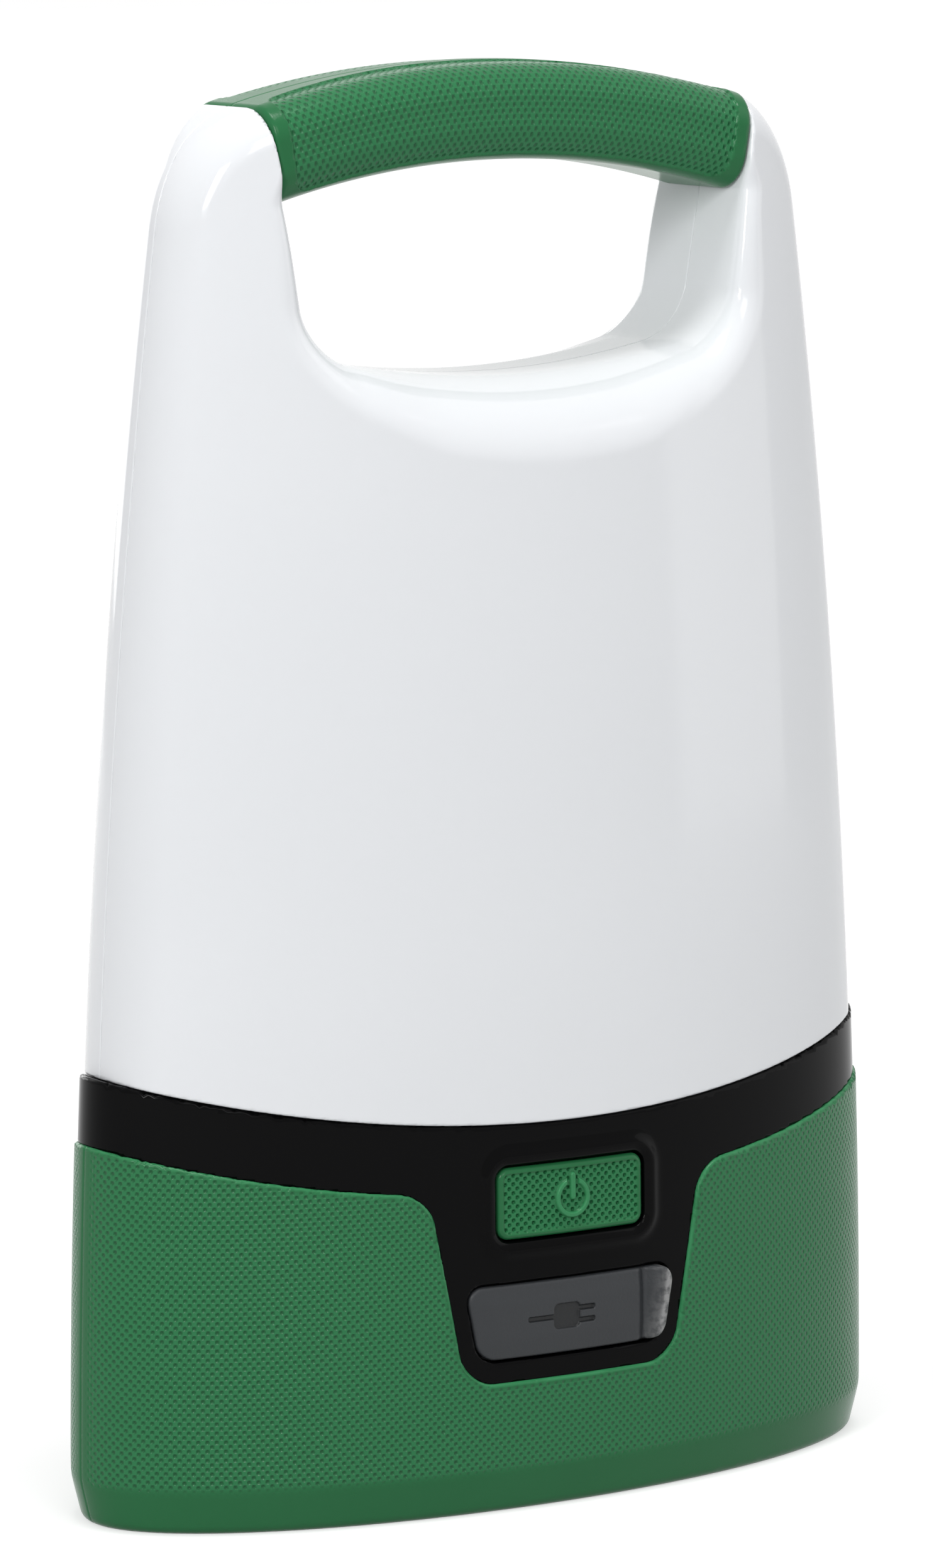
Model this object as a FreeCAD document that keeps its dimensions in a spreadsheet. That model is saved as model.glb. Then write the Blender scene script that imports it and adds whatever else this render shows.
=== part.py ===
import FreeCAD, Part
import os

# Rechargeable camping lantern: opal shade with a moulded handle on a rubber-clad base.
# Millimetres, +Z up, front towards -Y, origin under the middle of the base.

doc = FreeCAD.newDocument("lantern")
sheet = doc.addObject("Spreadsheet::Sheet", "sizes")

driving_sizes = [
    # Whole body: elliptical plan that draws in with height along two large arcs
    ("half_width", 70.0),
    ("half_depth", 28.3),
    ("side_radius", 1587.0),
    ("face_radius", 2381.0),
    ("foot_height", 7.0),
    ("foot_inset", 1.8),
    # Walls and seats
    ("boot_wall", 1.8),
    ("boot_flange", 6.2),
    ("boot_floor", 1.5),
    ("boot_proud", 0.5),
    ("housing_wall", 2.2),
    ("shade_wall", 2.5),
    ("fit_gap", 0.2),
    ("run_gap", 0.3),
    # Band: both edges are arcs that dip at the front
    ("band_top", 59.2),
    ("band_height", 10.4),
    ("band_radius", 263.0),
    # Handle and its opening
    ("overall_height", 217.5),
    ("crown_radius", 161.0),
    ("shoulder_radius", 13.0),
    ("shoulder_drop", 17.5),
    ("gap_depth", 47.5),
    ("gap_slope", 0.163),
    ("post_width", 33.6),
    ("gap_corner", 10.0),
    ("barrel_radius", 30.0),
    ("barrel_rise", 0.95),
    ("flare_sink", 14.0),
    ("flare_corner", 18.0),
    ("grip_height", 14.0),
    ("grip_half_depth", 12.2),
    ("grip_rubber", 2.6),
    ("grip_round", 5.5),
    # Control panel in the boot's cut-out
    ("panel_bottom", 20.2),
    ("panel_bottom_half", 18.7),
    ("panel_slope", 0.19),
    ("panel_corner", 5.0),
    ("panel_flare", 4.5),
    ("button_level", 47.4),
    ("button_width", 26.0),
    ("button_height", 11.0),
    ("button_corner", 1.9),
    ("button_travel", 1.0),
    ("button_proud", 0.2),
    ("button_flange", 1.6),
    ("bezel_width", 2.6),
    ("bezel_proud", 0.5),
    ("flap_level", 29.4),
    ("flap_width", 34.6),
    ("flap_height", 11.4),
    ("flap_corner", 2.6),
    ("flap_recess", 1.7),
    ("flap_proud", 0.3),
    ("lip_width", 3.2),
    ("lip_proud", 1.3),
    # Sockets, switch and board
    ("usb_a_width", 13.1),
    ("usb_a_height", 5.7),
    ("usb_a_place", -5.0),
    ("usb_micro_width", 7.5),
    ("usb_micro_height", 2.6),
    ("usb_micro_place", 9.0),
    ("socket_wall", 0.4),
    ("socket_depth", 9.0),
    ("board_setback", 16.3),
    ("board_thick", 1.6),
    ("board_half", 36.0),
    ("board_bottom", 11.0),
    ("board_top", 50.0),
    ("board_post_place", 32.0),
    ("board_post_inset", 5.0),
    ("board_post_radius", 3.0),
    ("switch_size", 12.0),
    ("switch_body", 4.0),
    ("stem_radius", 3.0),
    # Cells and cradle
    ("cell_radius", 9.2),
    ("cell_length", 65.0),
    ("cell_pitch", 20.0),
    ("cell_level", 15.0),
    ("cell_place", 8.5),
    ("tab_thick", 0.4),
    ("tray_wall", 2.5),
    ("tray_front", 2.0),
    ("lead_radius", 0.8),
    # Deck, light source and fasteners
    ("deck_level", 54.0),
    ("deck_thick", 2.0),
    ("led_board_half", 38.0),
    ("led_board_depth", 22.0),
    ("led_board_thick", 1.6),
    ("led_size", 3.5),
    ("led_thick", 0.8),
    ("led_pitch", 9.0),
    ("led_rows", 7.0),
    ("cover_thick", 2.5),
    ("column_inset", 20.0),
    ("column_setback", 19.3),
    ("column_radius", 3.6),
    ("screw_radius", 1.25),
    ("screw_length", 9.0),
    ("head_radius", 2.6),
    ("head_thick", 1.4),
]
# Places that follow the body when its height, width or depth changes
derived_sizes = [
    ("shoulder_level", "=overall_height - shoulder_drop"),
    ("gap_floor", "=overall_height - gap_depth"),
    ("gap_floor_half", "=half_width - post_width"),
    ("board_face", "=half_depth - board_setback"),
    ("column_x", "=half_width - column_inset"),
    ("column_y", "=half_depth - column_setback"),
]
for row, (alias, value) in enumerate(driving_sizes + derived_sizes, start=1):
    sheet.set("A%d" % row, alias)
    sheet.set("B%d" % row, str(value))
    sheet.setAlias("B%d" % row, alias)
doc.recompute()
names = [alias for alias, value in driving_sizes + derived_sizes]
nodes = []


def named(expression):
    # Puts the sheet's name before each size in an expression.
    words = expression.replace("(", " ( ").replace(")", " ) ").split()
    return " ".join("sizes." + word if word in names else word for word in words)


def bind(thing, **expressions):
    for key, expression in expressions.items():
        thing.setExpression(key.replace("_at_", ".").replace("__", "."), named(expression))
    return thing


def place(thing, x="0", y="0", z="0", turn=None):
    if turn is not None:
        thing.Placement = FreeCAD.Placement(FreeCAD.Vector(0, 0, 0), turn)
    for key, expression in (("x", x), ("y", y), ("z", z)):
        thing.setExpression("Placement.Base." + key, named(expression))
    return thing


turn_to_y = FreeCAD.Rotation(FreeCAD.Vector(1, 0, 0), -90)
turn_to_x = FreeCAD.Rotation(FreeCAD.Vector(0, 1, 0), 90)
turn_wedge = FreeCAD.Rotation(FreeCAD.Vector(1, 0, 0), 90)


def box(name, x0, x1, y0, y1, z0, z1):
    thing = doc.addObject("Part::Box", name)
    bind(thing, Length="(%s) - (%s)" % (x1, x0), Width="(%s) - (%s)" % (y1, y0))
    bind(thing, Height="(%s) - (%s)" % (z1, z0))
    return place(thing, x0, y0, z0)


def rod(name, radius, length, x="0", y="0", z="0", turn=None):
    thing = doc.addObject("Part::Cylinder", name)
    bind(thing, Radius=radius, Height=length)
    return place(thing, x, y, z, turn)


def trapezoid(name, z0, half0, z1, half1, depth):
    # A prism right through the body from front to back, wider or narrower with height.
    thing = doc.addObject("Part::Wedge", name)
    bind(thing, Ymin=z0, Ymax=z1)
    bind(thing, Xmin="0 - (%s)" % half0, Xmax=half0, X2min="0 - (%s)" % half1, X2max=half1)
    bind(thing, Zmin="0 - (%s)" % depth, Zmax=depth, Z2min="0 - (%s)" % depth, Z2max=depth)
    return place(thing, turn=turn_wedge)


def cut(name, base, tool):
    thing = doc.addObject("Part::Cut", name)
    thing.Base = base
    thing.Tool = tool
    return thing


def common(name, base, tool):
    thing = doc.addObject("Part::Common", name)
    thing.Base = base
    thing.Tool = tool
    return thing


def fuse(name, *shapes):
    thing = doc.addObject("Part::MultiFuse", name)
    thing.Shapes = list(shapes)
    return thing


def group(name, *shapes):
    thing = doc.addObject("Part::Compound", name)
    thing.Links = list(shapes)
    return thing


def rounded(name, base, radius, pick):
    # Rounds the edges that pick chooses; the radius is read from the sheet by its alias.
    doc.recompute()
    thing = doc.addObject("Part::Fillet", name)
    thing.Base = base
    size = sheet.get(radius) if isinstance(radius, str) else radius
    chosen = [(index + 1, size, size) for index, edge in enumerate(base.Shape.Edges) if pick(edge)]
    if not chosen:
        raise ValueError("no edge to round on " + name)
    thing.Edges = chosen
    return thing


def node(thing, label):
    thing.Label = label
    nodes.append(thing)
    return thing


def along(axis):
    def pick(edge):
        ends = [vertex.Point for vertex in edge.Vertexes]
        if len(ends) != 2 or edge.Curve.TypeId != "Part::GeomLine":
            return False
        run = (ends[1] - ends[0]).normalize()
        return abs(abs(run.dot(axis)) - 1) < 1e-6
    return pick


def near_level(level):
    return lambda edge: abs(edge.CenterOfMass.z - level) < 0.01


def size(alias):
    return sheet.get(alias)


axis_x = FreeCAD.Vector(1, 0, 0)
axis_y = FreeCAD.Vector(0, 1, 0)
axis_z = FreeCAD.Vector(0, 0, 1)


def ellipse(name, level, inset):
    thing = doc.addObject("Part::Ellipse", name)
    drawn = "half_%s - (%s) * (%s) / ( 2 * %s_radius ) - (%s)"
    bind(thing, MajorRadius=drawn % ("width", level, level, "side", inset))
    bind(thing, MinorRadius=drawn % ("depth", level, level, "face", inset))
    return place(thing, z=level)


def loft(name, sections, ruled):
    thing = doc.addObject("Part::Loft", name)
    thing.Sections = sections
    thing.Solid = True
    thing.Ruled = ruled
    return thing


def body_form(name, inset, bottom, top):
    # The lantern's outer form moved in by inset, between two levels above the foot.
    steps = 4
    sections = []
    for step in range(steps + 1):
        level = "( (%s) + ( (%s) - (%s) ) * %d / %d )" % (bottom, top, bottom, step, steps)
        sections.append(ellipse("%s_ring_%d" % (name, step), level, inset))
    return loft(name, sections, False)


def base_form(name, inset, bottom, top):
    # The same form with the foot's slope below it.
    slope = "foot_inset * ( foot_height - (%s) ) / foot_height + (%s)" % (bottom, inset)
    low = ellipse(name + "_sole", bottom, slope)
    edge = ellipse(name + "_edge", "foot_height", inset)
    foot = loft(name + "_foot", [low, edge], True)
    return fuse(name, foot, body_form(name + "_side", inset, "foot_height", top))


far = "half_width * 2"
wide = "half_depth * 2"


def band_arc(name, level):
    # Everything above an edge of the band.
    return rod(name, "band_radius", wide + " * 2", "0", "0 - " + wide, level + " + band_radius", turn_to_y)


# Boot
boot_top = "band_top + band_radius / 10"
boot_outer = base_form("boot_outer", "0", "0", boot_top)
boot_inner = base_form("boot_inner", "boot_wall", "boot_floor", boot_top)
boot_window = ellipse("boot_window_low", "0", "boot_wall + boot_flange")
boot_window_top = ellipse("boot_window_top", "boot_floor", "boot_wall + boot_flange")
boot_hole = loft("boot_hole", [boot_window, boot_window_top], True)
boot_cup = cut("boot_cup", boot_outer, fuse("boot_void", boot_inner, boot_hole))
boot_ring = cut("boot_ring", boot_cup, band_arc("boot_edge_arc", "band_top - band_height"))
panel_rise = "( band_top - panel_bottom )"
panel_prism = trapezoid(
    "panel_prism", "panel_bottom", "panel_bottom_half", "band_top",
    "panel_bottom_half + panel_slope * " + panel_rise, wide)
panel_round = rounded(
    "panel_round", panel_prism, "panel_corner",
    lambda edge: along(axis_y)(edge) and near_level(size("panel_bottom"))(edge))
front_half = box("front_half", "0 - " + far, far, "0 - " + wide, "0", "0 - 1", "overall_height * 2")
panel_cut = common("panel_cut", panel_round, front_half)
boot_open = cut("boot_open", boot_ring, panel_cut)


def flare_edges(edge):
    spot = edge.CenterOfMass
    ends = [vertex.Point for vertex in edge.Vertexes]
    level = size("band_top") - size("band_height")
    if len(ends) != 2 or spot.y > 0 or abs(ends[0].x - ends[1].x) > 0.5 or abs(ends[0].z - ends[1].z) > 0.5:
        return False
    return abs(spot.z - level) < 4 and size("panel_bottom_half") < abs(spot.x) < size("half_width") / 2


node(rounded("boot_flared", boot_open, "panel_flare", flare_edges), "base_boot")

# Housing: band and panel stand level with each other, just below the boot's face
housing_inset = "( boot_wall + housing_wall )"
housing_outer = base_form("housing_outer", "boot_proud", "boot_floor", boot_top)
housing_inner = base_form("housing_inner", housing_inset, "0", boot_top + " + 1")
housing_tube = cut("housing_tube", housing_outer, housing_inner)
housing_low = cut("housing_low", housing_tube, band_arc("band_edge_arc", "band_top"))
housing_shell = cut("housing_shell", housing_low, nodes[0])

column_parts = []
cover_top = "( boot_floor + cover_thick )"
for count, (sx, sy) in enumerate(((-1, -1), (1, -1), (-1, 1), (1, 1))):
    cx = "%d * column_x" % sx
    cy = "%d * column_y" % sy
    column_parts.append(rod("column_%d" % count, "column_radius", "deck_level - " + cover_top, cx, cy, cover_top))
    reach = "half_depth / 2"
    y0, y1 = ("0 - column_y - " + reach, "0 - column_y") if sy < 0 else ("column_y", "column_y + " + reach)
    rib_half = "column_radius / 3"
    column_parts.append(box(
        "column_rib_%d" % count, cx + " - " + rib_half, cx + " + " + rib_half, y0, y1, cover_top, "deck_level"))
board_levels = ("board_bottom + board_post_inset", "board_top - board_post_inset")
for count, (sx, level) in enumerate((sx, level) for sx in (-1, 1) for level in board_levels):
    column_parts.append(rod(
        "board_post_%d" % count, "board_post_radius", "half_depth - board_face", "%d * board_post_place" % sx,
        "0 - half_depth", level, turn_to_y))
housing_fill = base_form("housing_fill", "( boot_wall + housing_wall / 2 )", "boot_floor", boot_top)
columns = common("columns", fuse("column_set", *column_parts), housing_fill)


def panel_block(name, width, height, level, corner, depth, place_x="0"):
    # A block with rounded corners that runs in from the front, to cut or to trim.
    base = box(
        name + "_block", "%s - (%s) / 2" % (place_x, width), "%s + (%s) / 2" % (place_x, width),
        "0 - half_depth * 2", "0 - (%s)" % depth, "%s - (%s) / 2" % (level, height),
        "%s + (%s) / 2" % (level, height))
    return rounded(name, base, corner, along(axis_y))


bezel_block = panel_block(
    "bezel_block", "button_width + 2 * bezel_width", "button_height + 2 * bezel_width", "button_level",
    size("button_corner") + size("bezel_width") / 2, "half_depth - boot_wall")
bezel_form = body_form("bezel_form", "boot_proud - bezel_proud", "foot_height", "band_top + 1")
bezel = common("bezel", bezel_block, bezel_form)
housing_solid = fuse("housing_solid", housing_shell, columns, bezel)
button_hole = panel_block(
    "button_hole", "button_width + 2 * run_gap", "button_height + 2 * run_gap", "button_level",
    size("button_corner") + size("run_gap"), "half_depth / 2")


def flap_outline(name, grow):
    # The flap's face, with sides that lean as the panel's do, as a block in the front half.
    tall = "( flap_height / 2 + (%s) )" % grow
    half = "flap_width / 2 + (%s)" % grow
    lean = "panel_slope * " + tall
    prism = trapezoid(
        name + "_prism", "flap_level - " + tall, half + " - " + lean, "flap_level + " + tall, half + " + " + lean, wide)
    return common(name, rounded(name + "_round", prism, "flap_corner", along(axis_y)), front_half)


flap_seat_block = flap_outline("flap_seat_block", "run_gap")
flap_seat_form = body_form("flap_seat_form", "boot_proud + flap_recess", "foot_height", "band_top + 1")
flap_seat = cut("flap_seat", flap_seat_block, flap_seat_form)
usb_a_hole = panel_block(
    "usb_a_hole", "usb_a_width + 2 * fit_gap", "usb_a_height + 2 * fit_gap", "flap_level", 0.5,
    "half_depth / 2", "usb_a_place")
usb_micro_hole = panel_block(
    "usb_micro_hole", "usb_micro_width + 2 * fit_gap", "usb_micro_height + 2 * fit_gap", "flap_level", 0.5,
    "half_depth / 2", "usb_micro_place")
anchor_width = "lip_width / 2"
anchor_edge = "0 - flap_width / 2 + flap_corner"
anchor_back = "( half_depth - boot_wall - housing_wall - flap_recess )"
anchor_slot = box(
    "anchor_slot", anchor_edge + " - " + anchor_width, anchor_edge, "0 - half_depth", "0 - " + anchor_back,
    "flap_level - flap_height / 3", "flap_level + flap_height / 3")
pilots = []
for count, (sx, sy) in enumerate(((-1, -1), (1, -1), (-1, 1), (1, 1))):
    pilots.append(rod(
        "pilot_%d" % count, "screw_radius", "deck_level - boot_floor", "%d * column_x" % sx, "%d * column_y" % sy,
        "boot_floor"))
for count, (sx, level) in enumerate((sx, level) for sx in (-1, 1) for level in board_levels):
    pilots.append(rod(
        "board_pilot_%d" % count, "screw_radius", "screw_length", "%d * board_post_place" % sx,
        "0 - board_face - screw_length", level, turn_to_y))
housing_cuts = fuse("housing_cuts", button_hole, flap_seat, usb_a_hole, usb_micro_hole, anchor_slot, *pilots)
node(cut("housing", housing_solid, housing_cuts), "base_housing")

# Button: cap in its hole, wider flange behind the wall, plunger towards the switch
flange_half = "( button_width / 2 + button_flange )"
flange_top = "( button_level + button_height / 2 )"
wall_depth = "( half_depth - %s * %s / ( 2 * face_radius ) - %s )" % (flange_top, flange_top, housing_inset)
wall_bow = "( %s * %s / ( half_width * half_width ) )" % (flange_half, flange_half)
flange_front = "( %s * ( 1 - 0.6 * %s ) - run_gap )" % (wall_depth, wall_bow)
flange_back = "( %s - button_flange )" % flange_front
cap_block = panel_block(
    "cap_block", "button_width", "button_height", "button_level", "button_corner", flange_front)
cap_form = body_form("cap_form", "boot_proud - button_proud", "foot_height", "band_top + 1")
cap = common("cap", cap_block, cap_form)
flange = box(
    "flange", "0 - " + flange_half, flange_half, "0 - " + flange_front, "0 - " + flange_back,
    "button_level - button_height / 2 - button_flange / 2", flange_top)
switch_front = "( board_face + switch_body + stem_radius )"
plunger_end = "( %s + button_travel + fit_gap )" % switch_front
plunger = rod(
    "plunger", "stem_radius", "%s - %s" % (flange_back, plunger_end), "0", "0 - " + flange_back, "button_level",
    turn_to_y)
node(fuse("button", cap, flange, plunger), "power_button")

# Charging flap with its pull lip, and its root in the wall
flap_block = flap_outline("flap_block", "0")
flap_form = body_form("flap_form", "boot_proud - flap_proud", "foot_height", "band_top + 1")
flap_floor = body_form("flap_floor", "boot_proud + flap_recess - run_gap / 2", "foot_height", "band_top + 1")
lip_span = box(
    "lip_span", "flap_width / 2 - lip_width", "flap_width", "0 - half_depth * 2", "0 - half_depth / 2",
    "flap_level - flap_height", "flap_level + flap_height")
lip_block = common("lip_block", flap_outline("lip_outline", "0"), lip_span)
lip_form = body_form("lip_form", "boot_proud - lip_proud", "foot_height", "band_top + 1")
flap_outer = fuse("flap_outer", common("flap_skin", flap_block, flap_form), common("lip", lip_block, lip_form))
node(cut("flap", flap_outer, flap_floor), "port_cover")
anchor_form = body_form("anchor_form", "boot_proud + flap_recess", "foot_height", "band_top + 1")
anchor_bead = box(
    "anchor_bead", anchor_edge + " - 2 * " + anchor_width, anchor_edge + " + " + anchor_width,
    "0 - " + anchor_back, "0 - %s + %s" % (anchor_back, anchor_width),
    "flap_level - flap_height / 3", "flap_level + flap_height / 3")
anchor_stem = common("anchor_stem", anchor_slot, anchor_form)
node(fuse("anchor_whole", anchor_stem, anchor_bead), "cover_anchor")

# Sockets stand on the board and reach into the wall behind the flap
socket_face = "( half_depth - boot_proud - flap_recess - 2 * fit_gap - run_gap )"


def socket(name, width, height, place_x):
    shell = box(
        name + "_shell", "%s - %s / 2" % (place_x, width), "%s + %s / 2" % (place_x, width),
        "0 - " + socket_face, "0 - board_face", "flap_level - %s / 2" % height, "flap_level + %s / 2" % height)
    mouth = box(
        name + "_mouth", "%s - %s / 2 + socket_wall" % (place_x, width), "%s + %s / 2 - socket_wall" % (place_x, width),
        "0 - " + socket_face, "0 - %s + socket_depth" % socket_face,
        "flap_level - %s / 2 + socket_wall" % height, "flap_level + %s / 2 - socket_wall" % height)
    tongue = box(
        name + "_tongue", "%s - %s / 2 + 3 * socket_wall" % (place_x, width),
        "%s + %s / 2 - 3 * socket_wall" % (place_x, width), "0 - %s + 3 * socket_wall" % socket_face,
        "0 - %s + socket_depth" % socket_face, "flap_level", "flap_level + %s / 4" % height)
    return fuse(name + "_whole", cut(name + "_open", shell, mouth), tongue)


node(socket("usb_a", "usb_a_width", "usb_a_height", "usb_a_place"), "usb_a_port")
node(socket("usb_micro", "usb_micro_width", "usb_micro_height", "usb_micro_place"), "micro_usb_port")

# Board, its screws and the switch
board_plate = box(
    "board_plate", "0 - board_half", "board_half", "0 - board_face", "0 - board_face + board_thick",
    "board_bottom", "board_top")
board_holes = []
board_screws = []
for count, (sx, level) in enumerate((sx, level) for sx in (-1, 1) for level in board_levels):
    px = "%d * board_post_place" % sx
    board_holes.append(rod(
        "board_hole_%d" % count, "screw_radius + fit_gap", "board_thick", px, "0 - board_face", level, turn_to_y))
    shank = rod(
        "board_shank_%d" % count, "screw_radius", "screw_length + board_thick - fit_gap", px,
        "0 - board_face - screw_length + fit_gap", level, turn_to_y)
    head = rod(
        "board_head_%d" % count, "head_radius", "head_thick", px, "0 - board_face + board_thick", level, turn_to_y)
    board_screws.append(fuse("board_screw_%d" % count, shank, head))
node(cut("board", board_plate, fuse("board_hole_set", *board_holes)), "control_board")
node(group("board_screw_set", *board_screws), "board_screws")
switch_body = box(
    "switch_base", "0 - switch_size / 2", "switch_size / 2", "0 - board_face - switch_body", "0 - board_face",
    "button_level - switch_size / 2 - fit_gap", "board_top")
switch_stem = rod(
    "switch_stem", "stem_radius", "stem_radius", "0", "0 - " + switch_front, "button_level", turn_to_y)
node(fuse("switch", switch_body, switch_stem), "tact_switch")

# Cells lie one over the other in an open cradle
cells = []
grooves = []
for count in range(2):
    level = "cell_level + %d * cell_pitch" % count
    cells.append(rod("cell_%d" % count, "cell_radius", "cell_length", "0 - cell_length / 2", "cell_place", level, turn_to_x))
    grooves.append(rod(
        "groove_%d" % count, "cell_radius + fit_gap / 2", "cell_length + 2 * tab_thick + fit_gap",
        "0 - cell_length / 2 - tab_thick - fit_gap / 2", "cell_place", level, turn_to_x))
node(group("cell_pair", *cells), "battery_cells")
tray_half = "( cell_length / 2 + tab_thick + fit_gap / 2 + tray_wall )"
tray_top = "( cell_level + cell_pitch + cell_radius + tray_wall )"
tray_block = box(
    "tray_block", "0 - " + tray_half, tray_half, "0 - tray_front - tray_wall", "cell_place + cell_radius / 2",
    cover_top, tray_top)
tab_low = "cell_level - cell_radius / 2"
tab_high = "cell_level + cell_pitch + cell_radius / 2"
tab_front = "0 - tray_front - 2 * tray_wall"
tabs = []
tab_slots = []
battery_leads = []
for count, sx in enumerate((-1, 1)):
    inner = "cell_length / 2"
    x0, x1 = ("0 - " + inner + " - tab_thick", "0 - " + inner) if sx < 0 else (inner, inner + " + tab_thick")
    tabs.append(box("tab_%d" % count, x0, x1, tab_front, "cell_place + cell_radius / 2", tab_low, tab_high))
    s0 = x0 + " - fit_gap / 2"
    s1 = x1 + " + fit_gap / 2"
    tab_slots.append(box(
        "tab_slot_%d" % count, s0, s1, tab_front, "cell_place + cell_radius", tab_low + " - fit_gap",
        tab_high + " + fit_gap"))
    battery_leads.append(rod(
        "battery_lead_%d" % count, "lead_radius",
        "board_face - board_thick - tray_front - 2 * tray_wall", "%d * ( cell_length + tab_thick ) / 2" % sx,
        "0 - board_face + board_thick", "cell_level + cell_pitch / 2", turn_to_y))
tray_void = fuse("tray_void", *(grooves + tab_slots))
node(cut("tray", tray_block, tray_void), "battery_tray")
node(group("tab_pair", *tabs), "battery_tabs")
node(group("battery_lead_pair", *battery_leads), "battery_leads")

# Bottom plate and screws that go up into the columns
plate_inset = "%s + fit_gap + foot_inset" % housing_inset
plate = loft("cover_plate", [
    ellipse("cover_low", "boot_floor", plate_inset), ellipse("cover_high", cover_top, plate_inset)], True)
sinks = []
bottom_screws = []
deck_holes = []
deck_screws = []
for count, (sx, sy) in enumerate(((-1, -1), (1, -1), (-1, 1), (1, 1))):
    cx = "%d * column_x" % sx
    cy = "%d * column_y" % sy
    sinks.append(rod("sink_%d" % count, "head_radius + fit_gap", "head_thick", cx, cy, "boot_floor"))
    sinks.append(rod("cover_hole_%d" % count, "screw_radius + fit_gap", "cover_thick", cx, cy, "boot_floor"))
    bottom_screws.append(fuse(
        "bottom_screw_%d" % count,
        rod("bottom_head_%d" % count, "head_radius", "head_thick", cx, cy, "boot_floor"),
        rod("bottom_shank_%d" % count, "screw_radius", "screw_length + head_thick", cx, cy, "boot_floor")))
    deck_holes.append(rod("deck_hole_%d" % count, "screw_radius + fit_gap", "deck_thick", cx, cy, "deck_level"))
    deck_screws.append(fuse(
        "deck_screw_%d" % count,
        rod("deck_head_%d" % count, "head_radius", "head_thick", cx, cy, "deck_level + deck_thick"),
        rod("deck_shank_%d" % count, "screw_radius", "screw_length + deck_thick", cx, cy, "deck_level - screw_length")))
node(cut("cover", plate, fuse("cover_cuts", *sinks)), "bottom_cover")
node(group("bottom_screw_set", *bottom_screws), "bottom_screws")

# Deck under the shade, and the light source on it
deck_inset = housing_inset + " + fit_gap"
deck_top = "( deck_level + deck_thick )"
deck_plate = loft("deck_plate", [
    ellipse("deck_low", "deck_level", deck_inset), ellipse("deck_high", deck_top, deck_inset)], True)
lead_places = ("led_pitch * 2", "led_pitch * 2 + 4 * lead_radius")
lead_line = "0 - board_face + board_thick / 2"
led_leads = []
for count, px in enumerate(lead_places):
    deck_holes.append(rod(
        "lead_hole_%d" % count, "lead_radius + fit_gap", "deck_thick", px, lead_line, "deck_level"))
    led_leads.append(rod(
        "led_lead_%d" % count, "lead_radius", deck_top + " - board_top", px, lead_line, "board_top"))
led_screw_place = "led_board_half - head_radius - 1"
for count, sx in enumerate((-1, 1)):
    deck_holes.append(rod(
        "led_pilot_%d" % count, "screw_radius", "deck_thick", "%d * ( %s )" % (sx, led_screw_place), "0", "deck_level"))
node(cut("deck", deck_plate, fuse("deck_hole_set", *deck_holes)), "light_deck")
node(group("deck_screw_set", *deck_screws), "deck_screws")
node(group("led_lead_pair", *led_leads), "led_leads")
led_top = "( %s + led_board_thick )" % deck_top
led_plate = box(
    "led_plate", "0 - led_board_half", "led_board_half", "0 - led_board_depth / 2 - lead_radius * 2",
    "led_board_depth / 2", deck_top, led_top)
led_screw_holes = []
led_screws = []
for count, sx in enumerate((-1, 1)):
    px = "%d * ( %s )" % (sx, led_screw_place)
    led_screw_holes.append(rod("led_hole_%d" % count, "screw_radius + fit_gap", "led_board_thick", px, "0", deck_top))
    led_screws.append(fuse(
        "led_screw_%d" % count,
        rod("led_head_%d" % count, "head_radius", "head_thick", px, "0", led_top),
        rod("led_shank_%d" % count, "screw_radius", "led_board_thick + deck_thick", px, "0", "deck_level")))
node(cut("led_carrier", led_plate, fuse("led_hole_set", *led_screw_holes)), "led_board")
node(group("led_screw_set", *led_screws), "led_board_screws")
chips = []
chip_count = int(size("led_rows"))
for column in range(chip_count):
    px = "led_pitch * %s" % (column - (chip_count - 1) / 2)
    for row, py in enumerate(("0 - led_pitch / 2", "led_pitch / 2")):
        chips.append(box(
            "chip_%d_%d" % (column, row), px + " - led_size / 2", px + " + led_size / 2", py + " - led_size / 2",
            py + " + led_size / 2", led_top, led_top + " + led_thick"))
node(group("chip_set", *chips), "led_chips")

# Shade: lofted body, crown arc with round shoulders, open handle, hollow inside
crown_level = "overall_height - crown_radius"
crown_disc = rod("crown_disc", "crown_radius", wide + " * 2", "0", "0 - " + wide, crown_level, turn_to_y)
lean = "( shoulder_level / side_radius )"
edge_at = "( half_width - shoulder_level * shoulder_level / ( 2 * side_radius ) )"
crown_prism = trapezoid(
    "crown_prism", "band_top - band_height", edge_at + " + " + lean + " * ( shoulder_level - band_top + band_height )",
    "overall_height + shoulder_radius", edge_at + " - " + lean + " * ( overall_height + shoulder_radius - shoulder_level )",
    wide)
crown_sharp = common("crown_sharp", crown_prism, crown_disc)


def shoulder_edges(edge):
    return along(axis_y)(edge) and edge.CenterOfMass.z > size("shoulder_level")


crown = rounded("crown", crown_sharp, "shoulder_radius", shoulder_edges)
shade_low = "band_top - band_height"
shade_form = body_form("shade_form", "boot_proud", shade_low, "overall_height")
shade_block = common("shade_block", shade_form, crown)


def gap_corner_edges(level):
    return lambda edge: along(axis_y)(edge) and near_level(level)(edge)


def gap_prism(name, grow, sink):
    # The space between the posts, wider with height, from the floor up past the crown.
    low = "( gap_floor - (%s) )" % sink
    high = "( overall_height + shoulder_radius )"
    half = "gap_floor_half + (%s) + gap_slope * ( %s - gap_floor )"
    return trapezoid(name, low, half % (grow, low), high, half % (grow, high), wide)


def gap_space(name, grow, sink, corner):
    prism = gap_prism(name + "_prism", grow, sink)
    doc.recompute()
    return rounded(name, prism, corner, gap_corner_edges(prism.Shape.BoundBox.ZMin))


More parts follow.
